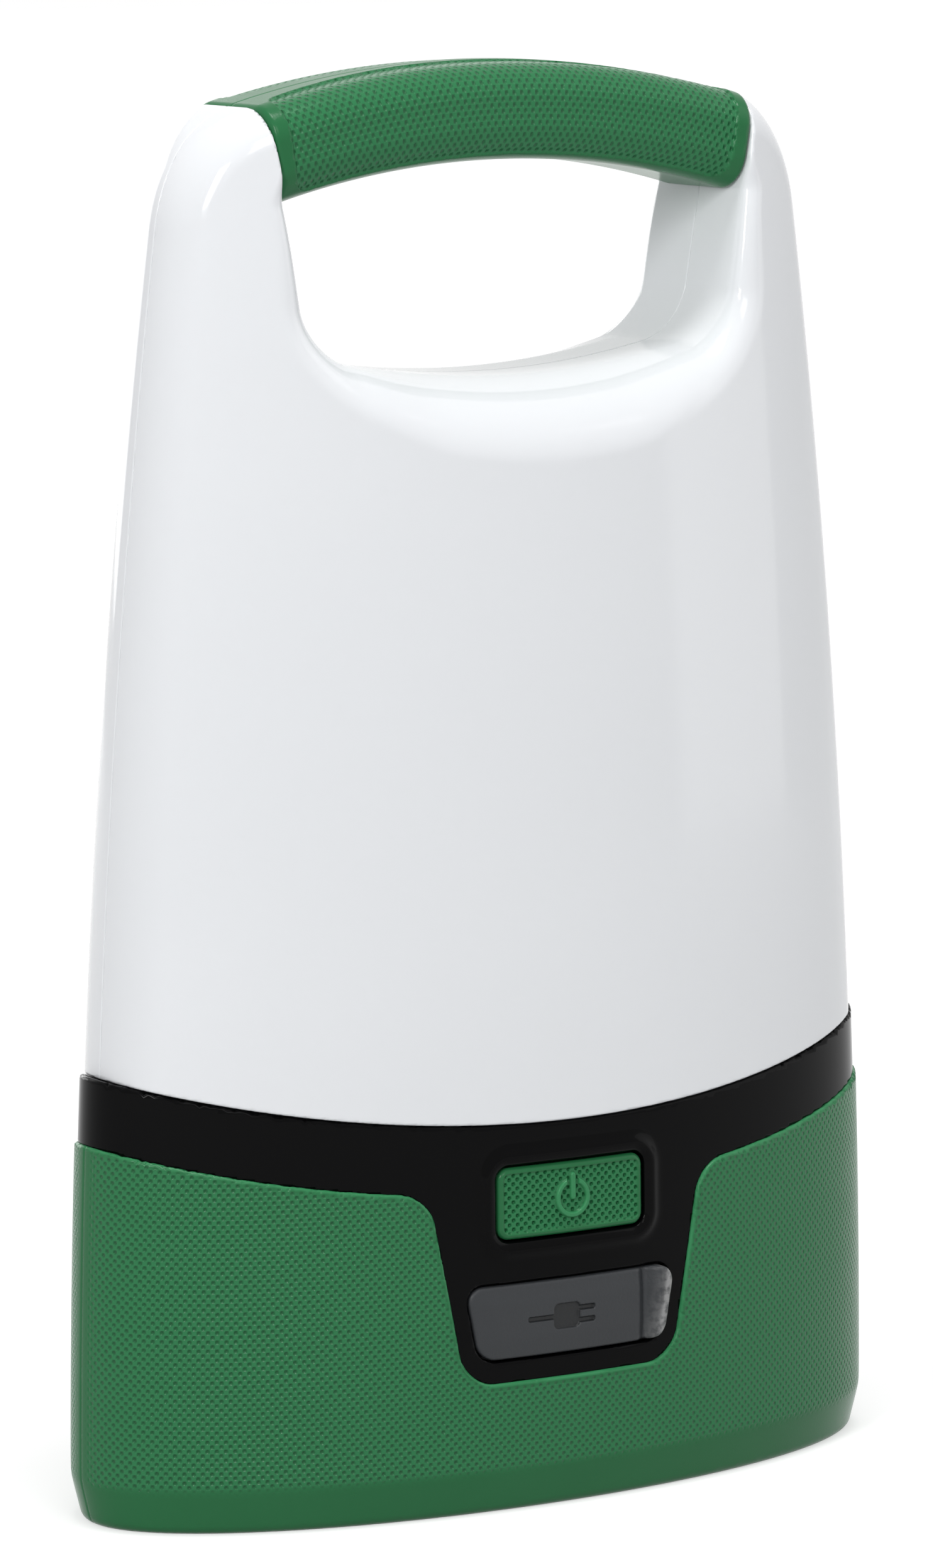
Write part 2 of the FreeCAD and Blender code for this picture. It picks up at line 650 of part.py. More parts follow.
# The floor is flat along the middle and rolls over a wide barrel into the front and rear faces
barrel = rod(
    "barrel", "barrel_radius", far, "0 - half_width", "0", "gap_floor + barrel_rise - barrel_radius", turn_to_x)
flare = cut("flare", gap_space("flare_space", "0 - fit_gap", "flare_sink", "flare_corner"), barrel)
gap = fuse("gap_whole", gap_space("gap", "0", "0", "gap_corner"), flare)
shade_rolled = cut("shade_rolled", shade_block, gap)
core_outer = rod(
    "core_outer", "crown_radius - grip_rubber", "2 * grip_half_depth - 2 * grip_rubber", "0",
    "grip_rubber - grip_half_depth", crown_level, turn_to_y)
core_inner = rod(
    "core_inner", "crown_radius - grip_height + grip_rubber", "2 * grip_half_depth", "0", "0 - grip_half_depth",
    crown_level, turn_to_y)
core_reach = "gap_floor_half + gap_slope * gap_depth + shade_wall"
core_span = box(
    "core_span", "0 - ( %s )" % core_reach, core_reach, "0 - half_depth", "half_depth", "gap_floor",
    "overall_height")
core = common("core", cut("core_tube", core_outer, core_inner), core_span)
hollow_form = body_form("hollow_form", "boot_proud + shade_wall", shade_low + " - 1", "shoulder_level")
hollow_sink = "( shade_wall + barrel_radius / 4 )"
hollow = cut("hollow", hollow_form, gap_space("hollow_gap", "shade_wall", hollow_sink, "gap_corner"))
shade_shell = cut("shade_shell", shade_rolled, hollow)
shade_joined = fuse("shade_joined", shade_shell, core)
shade_seat = band_arc("shade_seat", "band_top")
shade_whole = common("shade_whole", shade_joined, shade_seat)
front_side = box("front_side", "0 - " + far, far, "0 - " + wide, "0", "0", "overall_height * 2")
rear_side = box("rear_side", "0 - " + far, far, "0", wide, "0", "overall_height * 2")
node(common("shade_half_front", shade_whole, front_side), "shade_front")
node(common("shade_half_rear", shade_whole, rear_side), "shade_rear")

# Grip: soft sleeve on the handle's core
grip_disc = rod(
    "grip_disc", "crown_radius", "2 * grip_half_depth", "0", "0 - grip_half_depth", crown_level, turn_to_y)
grip_hole = rod(
    "grip_hole", "crown_radius - grip_height", "2 * grip_half_depth", "0", "0 - grip_half_depth", crown_level, turn_to_y)
grip_span = gap_prism("grip_span", "0", "0")
grip_bar = common("grip_bar", cut("grip_tube", grip_disc, grip_hole), grip_span)


def grip_edges(edge):
    return edge.Curve.TypeId == "Part::GeomCircle" and edge.Length > size("gap_floor_half")


grip_soft = rounded("grip_soft", grip_bar, "grip_round", grip_edges)
node(cut("grip", grip_soft, core), "handle_grip")

doc.recompute()
for thing in doc.Objects:
    if "Invalid" in thing.State or "Error" in thing.State:
        raise RuntimeError("%s did not build: %s" % (thing.Name, thing.State))
os.makedirs("parts", exist_ok=True)
for thing in nodes:
    if thing.Shape.isNull() or not thing.Shape.isValid() or not thing.Shape.Solids:
        raise RuntimeError("%s has no valid solid" % thing.Label)
    thing.Shape.exportStep("parts/%s.step" % thing.Label)
    print("%s: %d solids, %.1f mm3" % (thing.Label, len(thing.Shape.Solids), thing.Shape.Volume))
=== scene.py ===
import bpy
import math
import numpy as np
from mathutils import Matrix, Vector


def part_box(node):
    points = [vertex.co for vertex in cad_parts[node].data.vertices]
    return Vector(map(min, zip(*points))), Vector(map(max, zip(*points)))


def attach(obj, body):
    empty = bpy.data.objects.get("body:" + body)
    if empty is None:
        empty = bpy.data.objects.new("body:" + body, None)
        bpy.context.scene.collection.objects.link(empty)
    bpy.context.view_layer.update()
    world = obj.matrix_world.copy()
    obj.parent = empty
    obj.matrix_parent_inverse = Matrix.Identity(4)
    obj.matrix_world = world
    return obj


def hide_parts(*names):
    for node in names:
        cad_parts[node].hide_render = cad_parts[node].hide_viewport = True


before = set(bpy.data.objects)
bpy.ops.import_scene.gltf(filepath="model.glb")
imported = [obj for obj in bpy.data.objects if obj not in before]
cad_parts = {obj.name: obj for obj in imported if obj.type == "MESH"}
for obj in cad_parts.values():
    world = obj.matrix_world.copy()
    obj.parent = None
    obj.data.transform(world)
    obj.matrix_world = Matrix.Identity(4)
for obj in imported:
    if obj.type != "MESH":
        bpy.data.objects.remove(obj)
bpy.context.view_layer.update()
print("frame loaded:", len(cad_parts), "nodes")

mm = 0.001
# Room that a grid leaves round its piece, and a level that no cut reaches (millimetres)
margin = 0.7
farAway = 50.0
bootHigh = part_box("base_boot")[1] / mm
gripLow, gripHigh = (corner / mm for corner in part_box("handle_grip"))
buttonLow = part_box("power_button")[0] / mm
flapLow, flapHigh = (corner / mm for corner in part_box("port_cover"))

# The whole lantern: an ellipse in plan that draws in with height (millimetres)
body = {
    "halfWidth": bootHigh.x,
    "halfDepth": bootHigh.y,
    "sideRadius": 1587.0,
    "faceRadius": 2381.0,
    "footHeight": 7.0,
    "footInset": 1.8,
    "bandTop": 59.2,
    "bandHeight": 10.4,
    "bandRadius": 263.0,
    "crownTop": gripHigh.z,
    "crownRadius": 161.0,
    "footEase": 0.01,
    "proud": 0.5,
    "bootWall": 1.8,
    "housingWall": 2.2,
    "partingWide": 0.22,
}


# Distance formulas: negative inside a piece, positive outside
def roundBoth(a, b, radius):
    edge = np.hypot(np.maximum(radius + a, 0), np.maximum(radius + b, 0))
    return np.minimum(-radius, np.maximum(a, b)) + edge


def roundEither(a, b, radius):
    return -roundBoth(-a, -b, radius)


def soft(value, low, high):
    part = np.clip((value - low) / (high - low), 0, 1)
    return part * part * (3 - 2 * part)


def bodyForm(x, y, z, inset):
    across = body["halfWidth"] - z * z / (2 * body["sideRadius"]) - inset
    deep = body["halfDepth"] - z * z / (2 * body["faceRadius"]) - inset
    reach = np.sqrt((x / across) ** 2 + (y / deep) ** 2) + 1e-6
    steep = np.sqrt((x / across ** 2) ** 2 + (y / deep ** 2) ** 2) + 1e-9
    return reach * (reach - 1) / steep


def footInset(z):
    below = (body["footHeight"] - z) / body["footHeight"]
    eased = 0.5 * (below + np.sqrt(below * below + body["footEase"]))
    return body["footInset"] * eased


def aboveBand(x, z, level):
    return np.hypot(x, z - level - body["bandRadius"]) - body["bandRadius"]


def roundedBox(u, v, halfU, halfV, radius):
    du = np.abs(u) - halfU + radius
    dv = np.abs(v) - halfV + radius
    outside = np.hypot(np.maximum(du, 0), np.maximum(dv, 0))
    return outside + np.minimum(np.maximum(du, dv), 0) - radius


# A closed skin where a formula changes sign, on a grid whose lines may be close or wide;
# its points then settle onto the surface
settle = {"turns": 4, "furthest": 0.25, "flattest": 0.05, "reach": 0.01}


def lines(*stretches):
    points = []
    for low, high, step in stretches:
        points.append(np.linspace(low, high, max(2, int(round((high - low) / step)) + 1)))
    return np.unique(np.round(np.concatenate(points), 4))


def slopeAt(formula, points):
    reach = settle["reach"]
    slopes = []
    for axis in range(3):
        shift = np.zeros(3)
        shift[axis] = reach
        ahead, behind = points + shift, points - shift
        slopes.append((formula(*ahead.T) - formula(*behind.T)) / (2 * reach))
    return np.stack(slopes, -1)


def skin(name, formula, xs, ys, zs):
    axes = (xs, ys, zs)
    values = formula(*np.meshgrid(xs, ys, zs, indexing="ij"))
    cells = np.array(values.shape) - 1
    total = np.zeros((cells.prod(), 3))
    count = np.zeros(cells.prod())
    crossings = []
    for axis in range(3):
        low = np.take(values, range(cells[axis]), axis)
        high = np.take(values, range(1, cells[axis] + 1), axis)
        at = np.argwhere((low < 0) != (high < 0))
        a, b = low[tuple(at.T)], high[tuple(at.T)]
        spots = np.stack([axes[k][at[:, k]] for k in range(3)], -1)
        step = axes[axis][at[:, axis] + 1] - axes[axis][at[:, axis]]
        spots[:, axis] += step * a / (a - b)
        u, v = (axis + 1) % 3, (axis + 2) % 3
        corners = []
        for du, dv in ((0, 0), (-1, 0), (-1, -1), (0, -1)):
            cell = at.copy()
            cell[:, u] += du
            cell[:, v] += dv
            flat = np.ravel_multi_index(cell.T, cells, mode="clip")
            corners.append(flat)
            count += np.bincount(flat, minlength=len(count))
            for k in range(3):
                total[:, k] += np.bincount(flat, weights=spots[:, k], minlength=len(count))
        quads = np.stack(corners, -1)
        crossings.append(np.where((a < 0)[:, None], quads, quads[:, ::-1]))
    used = np.flatnonzero(count)
    points = total[used] / count[used, None]
    number = np.full(len(count), -1)
    number[used] = np.arange(len(used))
    faces = number[np.concatenate(crossings)]
    for _ in range(settle["turns"]):
        slope = slopeAt(formula, points)
        square = np.maximum((slope * slope).sum(-1), settle["flattest"])
        move = slope * (formula(*points.T) / square)[:, None]
        length = np.linalg.norm(move, axis=1, keepdims=True)
        points = points - move * np.minimum(1, settle["furthest"] / np.maximum(length, 1e-9))
    normals = slopeAt(formula, points)
    normals /= np.maximum(np.linalg.norm(normals, axis=1, keepdims=True), 1e-9)
    mesh = bpy.data.meshes.new(name)
    mesh.from_pydata((points * mm).tolist(), [], faces.tolist())
    mesh.polygons.foreach_set("use_smooth", np.ones(len(mesh.polygons), bool))
    mesh.normals_split_custom_set_from_vertices(normals.tolist())
    piece = bpy.data.objects.new(name, mesh)
    bpy.context.scene.collection.objects.link(piece)
    print("skin", name, len(mesh.polygons), "faces")
    return piece, points


def patternMap(piece, u, v):
    # Stores a piece's own flat coordinates, in millimetres, for a pattern that follows its surface
    layer = piece.data.uv_layers.new(name="pattern")
    corner = np.zeros(len(piece.data.loops), np.int32)
    piece.data.loops.foreach_get("vertex_index", corner)
    flat = np.stack([u[corner], v[corner]], -1).astype(np.float32)
    layer.data.foreach_set("uv", flat.ravel())


def pointValue(piece, name, values):
    layer = piece.data.attributes.new(name, "FLOAT", "POINT")
    layer.data.foreach_set("value", values.astype(np.float32))


# Materials
noiseSpan = (0.3, 0.7)


def newMaterial(name):
    material = bpy.data.materials.new(name)
    material.use_nodes = True
    return material, material.node_tree.nodes, material.node_tree.links


def mathNode(nodes, links, kind, a, b=None):
    node = nodes.new("ShaderNodeMath")
    node.operation = kind
    for socket, value in zip(node.inputs, (a, b)):
        if value is None:
            continue
        if isinstance(value, (int, float)):
            socket.default_value = value
        else:
            links.new(value, socket)
    return node.outputs[0]


def mixColour(nodes, links, factor, first, second):
    node = nodes.new("ShaderNodeMix")
    node.data_type = "RGBA"
    if isinstance(factor, (int, float)):
        node.inputs[0].default_value = factor
    else:
        links.new(factor, node.inputs[0])
    for index, colour in ((6, first), (7, second)):
        if isinstance(colour, tuple):
            node.inputs[index].default_value = (*colour, 1)
        else:
            links.new(colour, node.inputs[index])
    return node.outputs[2]


def noiseOn(nodes, links, scale, detail=3.0):
    where = nodes.new("ShaderNodeTexCoord")
    noise = nodes.new("ShaderNodeTexNoise")
    noise.inputs["Scale"].default_value = scale
    noise.inputs["Detail"].default_value = detail
    links.new(where.outputs["Object"], noise.inputs["Vector"])
    return noise.outputs["Fac"]


def bumpFrom(nodes, links, height, strength, distance, below=None):
    bump = nodes.new("ShaderNodeBump")
    bump.inputs["Strength"].default_value = strength
    bump.inputs["Distance"].default_value = distance
    links.new(height, bump.inputs["Height"])
    if below is not None:
        links.new(below, bump.inputs["Normal"])
    return bump.outputs["Normal"]


def rangeOf(nodes, links, value, low, high, toLow, toHigh):
    node = nodes.new("ShaderNodeMapRange")
    links.new(value, node.inputs[0])
    for index, number in enumerate((low, high, toLow, toHigh), start=1):
        node.inputs[index].default_value = number
    return node.outputs[0]


opal = {
    "colour": (0.818, 0.834, 0.858),
    "deep": (0.803, 0.819, 0.843),
    "cloud": 30,
    "grain": 900,
    "roughness": (0.07, 0.12),
    "ior": 1.49,
    "subsurface": 0.4,
    "scatter": (0.006, 0.006, 0.006),
}


def opalMaterial():
    material, nodes, links = newMaterial("opalShade")
    shader = nodes["Principled BSDF"]
    cloud = noiseOn(nodes, links, opal["cloud"])
    links.new(mixColour(nodes, links, cloud, opal["colour"], opal["deep"]), shader.inputs["Base Color"])
    fine = noiseOn(nodes, links, opal["grain"])
    rough = rangeOf(nodes, links, fine, *noiseSpan, *opal["roughness"])
    links.new(rough, shader.inputs["Roughness"])
    shader.inputs["IOR"].default_value = opal["ior"]
    shader.inputs["Subsurface Weight"].default_value = opal["subsurface"]
    shader.inputs["Subsurface Radius"].default_value = opal["scatter"]
    return material


green = {
    "light": (0.027, 0.186, 0.070),
    # Painted shade: the darker green of the dimples' pits
    "paintedPitShade": (0.014, 0.113, 0.040),
    "plain": (0.021, 0.153, 0.054),
    # Painted highlight: the lighter green on the power sign and along the boot's cut edges
    "paintedHighlight": (0.040, 0.238, 0.094),
    "darker": 0.88,
    "cloud": 60,
    "grain": 2500,
    "grainStrength": 0.15,
    "grainDepth": 0.0001,
    "row": 1.38,
    "dimpleSpan": (0.3, 0.95),
    "dimpleDepth": 0.0003,
    "roughness": (0.20, 0.26),
    "specular": 0.27,
    "ior": 1.36,
}


def greenMaterial(name):
    # Soft green rubber; where the piece's own mask is 1 it has close rows of small dimples, their pits
    # painted darker as painted shade, and a second mask paints a lighter green as a painted highlight
    material, nodes, links = newMaterial(name)
    shader = nodes["Principled BSDF"]
    cloud = noiseOn(nodes, links, green["cloud"])
    darker = tuple(c * green["darker"] for c in green["plain"])
    plain = mixColour(nodes, links, cloud, green["plain"], darker)
    fine = noiseOn(nodes, links, green["grain"])
    below = bumpFrom(nodes, links, fine, green["grainStrength"], green["grainDepth"])
    where = nodes.new("ShaderNodeUVMap")
    where.uv_map = "pattern"
    parts = nodes.new("ShaderNodeSeparateXYZ")
    links.new(where.outputs[0], parts.inputs[0])
    turn = 2 * math.pi / green["row"]
    waves = []
    for direction in (0, 1):
        angle = mathNode(nodes, links, "MULTIPLY", parts.outputs[direction], turn)
        waves.append(mathNode(nodes, links, "COSINE", angle))
    lattice = mathNode(nodes, links, "MULTIPLY", *waves)
    dimple = rangeOf(nodes, links, lattice, *green["dimpleSpan"], 0.0, 1.0)
    mask = nodes.new("ShaderNodeAttribute")
    mask.attribute_name = "textured"
    # A second mask paints a lighter green: a painted highlight on the power sign and along the boot's cut
    # edges
    paintedHighlight = nodes.new("ShaderNodeAttribute")
    paintedHighlight.attribute_name = "paintedHighlight"
    plain = mixColour(nodes, links, paintedHighlight.outputs["Fac"], plain, green["paintedHighlight"])
    # The dimples' pits are painted darker: painted shade in the hollows
    base = mixColour(nodes, links, dimple, green["light"], green["paintedPitShade"])
    links.new(mixColour(nodes, links, mask.outputs["Fac"], plain, base), shader.inputs["Base Color"])
    hollow = rangeOf(nodes, links, lattice, 0.0, 1.0, 0.0, 1.0)
    shown = mathNode(nodes, links, "MULTIPLY", hollow, mask.outputs["Fac"])
    height = mathNode(nodes, links, "SUBTRACT", 1.0, shown)
    links.new(bumpFrom(nodes, links, height, 1.0, green["dimpleDepth"], below), shader.inputs["Normal"])
    rough = rangeOf(nodes, links, cloud, *noiseSpan, *green["roughness"])
    links.new(rough, shader.inputs["Roughness"])
    shader.inputs["Specular IOR Level"].default_value = green["specular"]
    shader.inputs["IOR"].default_value = green["ior"]
    return material


plastic = {"cloud": 40, "darker": 0.8, "grainDepth": 0.0002, "spread": 0.1}


def plasticMaterial(name, colour, roughness, grain, depth, sheen=0.3):
    material, nodes, links = newMaterial(name)
    shader = nodes["Principled BSDF"]
    cloud = noiseOn(nodes, links, plastic["cloud"])
    base = mixColour(nodes, links, cloud, colour, tuple(c * plastic["darker"] for c in colour))
    links.new(base, shader.inputs["Base Color"])
    fine = noiseOn(nodes, links, grain)
    links.new(bumpFrom(nodes, links, fine, depth, plastic["grainDepth"]), shader.inputs["Normal"])
    low, high = roughness * (1 - plastic["spread"]), roughness * (1 + plastic["spread"])
    rough = rangeOf(nodes, links, fine, *noiseSpan, low, high)
    links.new(rough, shader.inputs["Roughness"])
    shader.inputs["Specular IOR Level"].default_value = sheen
    return material


rubber = {
    "colour": (0.036, 0.039, 0.043),
    # Painted shade for the sunk plug sign
    "paintedSignShade": (0.012, 0.013, 0.014),
    # Pale colour for worn lip edges and for the painted highlight up the lip's ramp
    "paleWearAndHighlight": (0.34, 0.34, 0.34),
    "scuffSize": 900,
    "scuffDetail": 6.0,
    "scuffSpan": (0.34, 0.56),
    "scuffShare": (0.15, 0.9),
}


def flapMaterial():
    # Matt grey rubber with painted shade darkening its sunk sign; pale along the pull lip, as scuffed wear
    # at the edge and a painted highlight up the lip's ramp
    material = plasticMaterial("greyRubber", rubber["colour"], 0.42, 2200, 0.25)
    nodes, links = material.node_tree.nodes, material.node_tree.links
    shader = nodes["Principled BSDF"]
    colour = shader.inputs["Base Color"].links[0].from_socket
    masks = {}
    for name in ("paintedSignShade", "wearAndRampHighlight"):
        masks[name] = nodes.new("ShaderNodeAttribute")
        masks[name].attribute_name = name
    # Painted shade: the sunk sign is coloured darker
    colour = mixColour(nodes, links, masks["paintedSignShade"].outputs["Fac"], colour, rubber["paintedSignShade"])
    specks = noiseOn(nodes, links, rubber["scuffSize"], rubber["scuffDetail"])
    scuffs = rangeOf(nodes, links, specks, *rubber["scuffSpan"], *rubber["scuffShare"])
    # Scuffed wear at the lip's edge and a painted highlight up its ramp share one mask and one pale colour
    paleWearAndHighlight = mathNode(nodes, links, "MULTIPLY", scuffs, masks["wearAndRampHighlight"].outputs["Fac"])
    links.new(mixColour(nodes, links, paleWearAndHighlight, colour, rubber["paleWearAndHighlight"]), shader.inputs["Base Color"])
    return material


def metalMaterial(name, colour, roughness):
    material = plasticMaterial(name, colour, roughness, 1500, 0.05)
    material.node_tree.nodes["Principled BSDF"].inputs["Metallic"].default_value = 1.0
    return material


# Name, colour, roughness, grain and its depth, and sheen where it is not the usual one
materials = {
    "opal": opalMaterial(),
    "dimpled": greenMaterial("dimpledGreen"),
    "black": plasticMaterial("glossBlack", (0.0018, 0.0018, 0.002), 0.10, 900, 0.01, 0.06),
    "flap": flapMaterial(),
    "cover": plasticMaterial("mattBlack", (0.012, 0.012, 0.012), 0.45, 1800, 0.25),
    "board": plasticMaterial("boardGreen", (0.02, 0.12, 0.05), 0.35, 1200, 0.05),
    "white": plasticMaterial("deckWhite", (0.8, 0.8, 0.8), 0.4, 900, 0.05),
    "cell": plasticMaterial("cellSleeve", (0.05, 0.15, 0.4), 0.25, 900, 0.02),
    "lead": plasticMaterial("leadRed", (0.4, 0.03, 0.02), 0.4, 900, 0.05),
    "phosphor": plasticMaterial("phosphor", (0.75, 0.6, 0.15), 0.5, 900, 0.05),
    "steel": metalMaterial("screwSteel", (0.55, 0.55, 0.56), 0.3),
    "nickel": metalMaterial("nickel", (0.62, 0.6, 0.56), 0.25),
}


def finishPiece(piece, bodyName, slot, material, *replaced):
    piece.data.materials.clear()
    piece.data.materials.append(materials[material])
    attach(piece, bodyName)
    if replaced:
        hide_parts(*replaced)


def aroundBody(points):
    # Length along the plan's ellipse from the left tip, and height, for every point
    angles = np.linspace(0, math.pi, 2001)
    wide, deep = body["halfWidth"], body["halfDepth"]
    steps = np.hypot(np.diff(-np.cos(angles) * wide), np.diff(np.sin(angles) * deep))
    length = np.concatenate([[0], np.cumsum(steps)])
    angle = np.arctan2(np.abs(points[:, 1]) / deep, -points[:, 0] / wide)
    return np.sign(-points[:, 1]) * np.interp(angle, angles, length), points[:, 2]


# Shade
shade = {
    "wall": 2.5,
    "shoulder": 13.0,
    "topEdge": 6.0,
    "gapFloor": 170.4,
    "floorBow": 140.0,
    "gapFloorHalf": 36.4,
    "gapSlope": 0.163,
    "gapCorner": 6.5,
    "barrelRadius": 45.0,
    "barrelRise": 0.75,
    "barrelFade": 0.85,
    "fadeFrom": 16,
    "fadeTo": 38,
    "crease": 0.012,
    "floorRoll": 7.0,
    "postRoll": 3.2,
    "endRoll": 0.5,
    "ceiling": 157.0,
    "ceilingRound": 6.0,
    "bandGap": 0.1,
    "lowEdge": 0.35,
    "seam": 0.03,
    "seamRound": 0.22,
    "seamStep": 0.11,
    "depthStep": 0.45,
    "tipFrom": 53,
    "bendFrom": 46,
    "postFrom": 35,
    "wallFrom": 12,
    "gapFrom": 158,
    "gapTo": 182,
    "topFrom": 194,
    "tipStep": 0.45,
    "postStep": 0.55,
    "faceStep": 1.15,
    "wallStep": 1.8,
    "lowStep": 0.36,
    "gapStep": 0.55,
    "topStep": 0.5,
    "step": 1.0,
}
crownLevel = body["crownTop"] - body["crownRadius"]


def gapOutline(x, y, z):
    # Open above a bowed floor that creases and rolls down to the front and the rear, less so by the posts
    radius = shade["barrelRadius"]
    roll = radius - np.sqrt(np.maximum(radius ** 2 - y * y, 1.0)) - shade["barrelRise"]
    roll = 0.5 * (roll + np.sqrt(roll * roll + shade["crease"]))
    roll = roll * (1 - shade["barrelFade"] * soft(np.abs(x), shade["fadeFrom"], shade["fadeTo"]))
    floorLevel = shade["gapFloor"] + x * x / (2 * shade["floorBow"]) - roll
    half = shade["gapFloorHalf"] + shade["gapSlope"] * (z - shade["gapFloor"])
    return roundBoth(np.abs(x) - half, floorLevel - z, shade["gapCorner"])


def shadeWhole(x, y, z):
    outer = bodyForm(x, y, z, body["proud"])
    crown = np.hypot(x, z - crownLevel) - body["crownRadius"]
    side = np.abs(x) - (body["halfWidth"] - body["proud"] - z * z / (2 * body["sideRadius"]))
    outline = roundBoth(crown, side, shade["shoulder"])
    whole = roundBoth(outer, outline, shade["topEdge"])
    # The gap's rim is widest along its floor, narrower up the posts and sharp at the grip's ends
    upPost = soft(z, shade["gapFloor"] - 4, gripLow.z - 1)
    roll = shade["floorRoll"] + (shade["postRoll"] - shade["floorRoll"]) * upPost
    roll = roll + (shade["endRoll"] - roll) * soft(z, gripLow.z - 1, gripLow.z + 5)
    whole = roundBoth(whole, -gapOutline(x, y, z), roll)
    inner = bodyForm(x, y, z, body["proud"] + shade["wall"])
    hollow = roundBoth(inner, z - shade["ceiling"], shade["ceilingRound"])
    whole = np.maximum(whole, -hollow)
    ring = np.abs(np.hypot(x, z - crownLevel) - body["crownRadius"] + grip["height"] / 2)
    core = np.maximum(ring - grip["height"] / 2, np.abs(y) - grip["halfDepth"]) + grip["rubber"]
    core = np.maximum(np.maximum(core, np.abs(x) - gripHigh.x - grip["coreReach"]), crownLevel - z)
    whole = np.minimum(whole, core)
    return roundBoth(whole, aboveBand(x, z, body["bandTop"] + shade["bandGap"]), shade["lowEdge"])


# Grip
grip = {
    "endGap": 0.12,
    "halfDepth": gripHigh.y,
    "height": 14.8,
    "round": 5.5,
    "rubber": 2.6,
    "endRound": 0.9,
    "border": 2.6,
    "panelRound": 3.0,
    "panelSink": 0.32,
    "stripMiddle": 1.6,
    "stripEnd": 5.5,
    "underStrip": -34.0,
    "perDegree": 0.16,
    "panelEdge": 0.35,
    "parting": 0.08,
    "coreReach": 2,
    "step": 0.45,
    "seamStep": 0.2,
}


def gripPlace(x, y, z):
    lift = np.hypot(x, z - crownLevel) - body["crownRadius"] + grip["height"] / 2
    turn = np.degrees(np.arctan2(lift, np.abs(y)))
    return lift, turn


def gripEnd(x, z):
    half = shade["gapFloorHalf"] + shade["gapSlope"] * (z - shade["gapFloor"])
    return np.abs(x) - half + grip["endGap"]


def gripPanel(x, y, z):
    # 1 on the sunk, textured panels and 0 on the smooth border round them
    lift, turn = gripPlace(x, y, z)
    strip = grip["stripMiddle"] + (grip["stripEnd"] - grip["stripMiddle"]) * (x / gripHigh.x) ** 2
    below = np.where(lift > 0, strip - np.abs(y), grip["perDegree"] * (grip["underStrip"] - turn))
    outline = roundBoth(gripEnd(x, z) + grip["border"], below, grip["panelRound"])
    return soft(-outline, 0.0, grip["panelEdge"])


def gripForm(x, y, z):
    lift, _ = gripPlace(x, y, z)
    section = roundedBox(lift, y, grip["height"] / 2, grip["halfDepth"], grip["round"])
    section = section + grip["panelSink"] * gripPanel(x, y, z)
    section = section + grip["parting"] * np.exp(-(y / body["partingWide"]) ** 2) * (lift > 0)
    return roundBoth(section, gripEnd(x, z), grip["endRound"])


def makeShade():
    low, top = body["bandTop"] - 1.5, body["crownTop"] + margin
    across, reach = body["halfWidth"] + margin, body["halfDepth"] + margin
    tip, bend, post = shade["tipFrom"], shade["bendFrom"], shade["postFrom"]
    for name, side in (("shade_front", -1), ("shade_rear", 1)):
        def half(x, y, z):
            return roundBoth(shadeWhole(x, y, z), shade["seam"] - side * y, shade["seamRound"])
        near = sorted((0.0, side * 1.0))
        rest = sorted((side * 1.0, side * reach))
        piece, _ = skin(
            name + "_skin", half,
            lines(
                (-across, -tip, shade["tipStep"]), (-tip, -bend, shade["step"]),
                (-bend, -post, shade["postStep"]), (-post, post, shade["faceStep"]),
                (post, bend, shade["postStep"]), (bend, tip, shade["step"]),
                (tip, across, shade["tipStep"])),
            lines((near[0] - 0.1, near[1], shade["seamStep"]), (rest[0], rest[1], shade["depthStep"])),
            lines(
                (low, low + shade["wallFrom"], shade["lowStep"]),
                (low + shade["wallFrom"], shade["gapFrom"], shade["wallStep"]),
                (shade["gapFrom"], shade["gapTo"], shade["gapStep"]),
                (shade["gapTo"], shade["topFrom"], shade["step"]),
                (shade["topFrom"], top, shade["topStep"])))
        finishPiece(piece, "lantern", "opal", "opal", name)


def makeGrip():
    across, deep = gripHigh.x + margin, grip["halfDepth"] + margin
    piece, points = skin(
        "handle_grip_skin", gripForm, lines((-across, across, grip["step"])),
        lines((-deep, -1, grip["step"]), (-1, 1, grip["seamStep"]), (1, deep, grip["step"])),
        lines((gripLow.z - 1.8, gripHigh.z + margin, grip["step"])))
    _, turn = gripPlace(*points.T)
    along = np.arctan2(points[:, 0], points[:, 2] - crownLevel) * body["crownRadius"]
    patternMap(piece, along, turn * grip["perDegree"] * np.sign(points[:, 1]))
    pointValue(piece, "textured", gripPanel(*points.T))
    finishPiece(piece, "lantern", "grip_green", "dimpled", "handle_grip")


# Base: boot, housing, button and flap
panel = {"bottom": 20.2, "bottomHalf": 18.7, "slope": 0.19, "corner": 5.0, "flare": 4.5}
button = {
    "level": 47.4,
    "half": 13.0,
    "halfTall": 5.5,
    "corner": 1.9,
    "gap": 0.3,
    "proud": 0.2,
    "border": 0.75,
    "sink": 0.22,
    "pit": 0.18,
    "signRise": 0.45,
    "edge": 0.9,
    "backGap": 0.9,
    "fieldEdge": 0.4,
    "frontDeep": 1.6,
    "bezelAt": 1.7,
    "bezelWide": 1.1,
    "bezelRise": 0.5,
    "step": 0.15,
}
flap = {
    "level": 29.4,
    "half": 17.3,
    "halfTall": 5.7,
    "corner": 2.8,
    "slope": 0.19,
    "gap": 0.3,
    "recess": 1.7,
    "proud": 0.3,
    "lipFrom": 13.5,
    "lipFull": 15.6,
    "lipRise": 1.5,
    "foldAt": 13.3,
    "foldWide": 0.8,
    "foldDepth": 0.6,
    "pillow": 0.3,
    "pillowWide": 3.5,
    "edge": 0.6,
    "signDepth": 0.45,
    "wornFrom": 15.2,
    "step": 0.18,
}
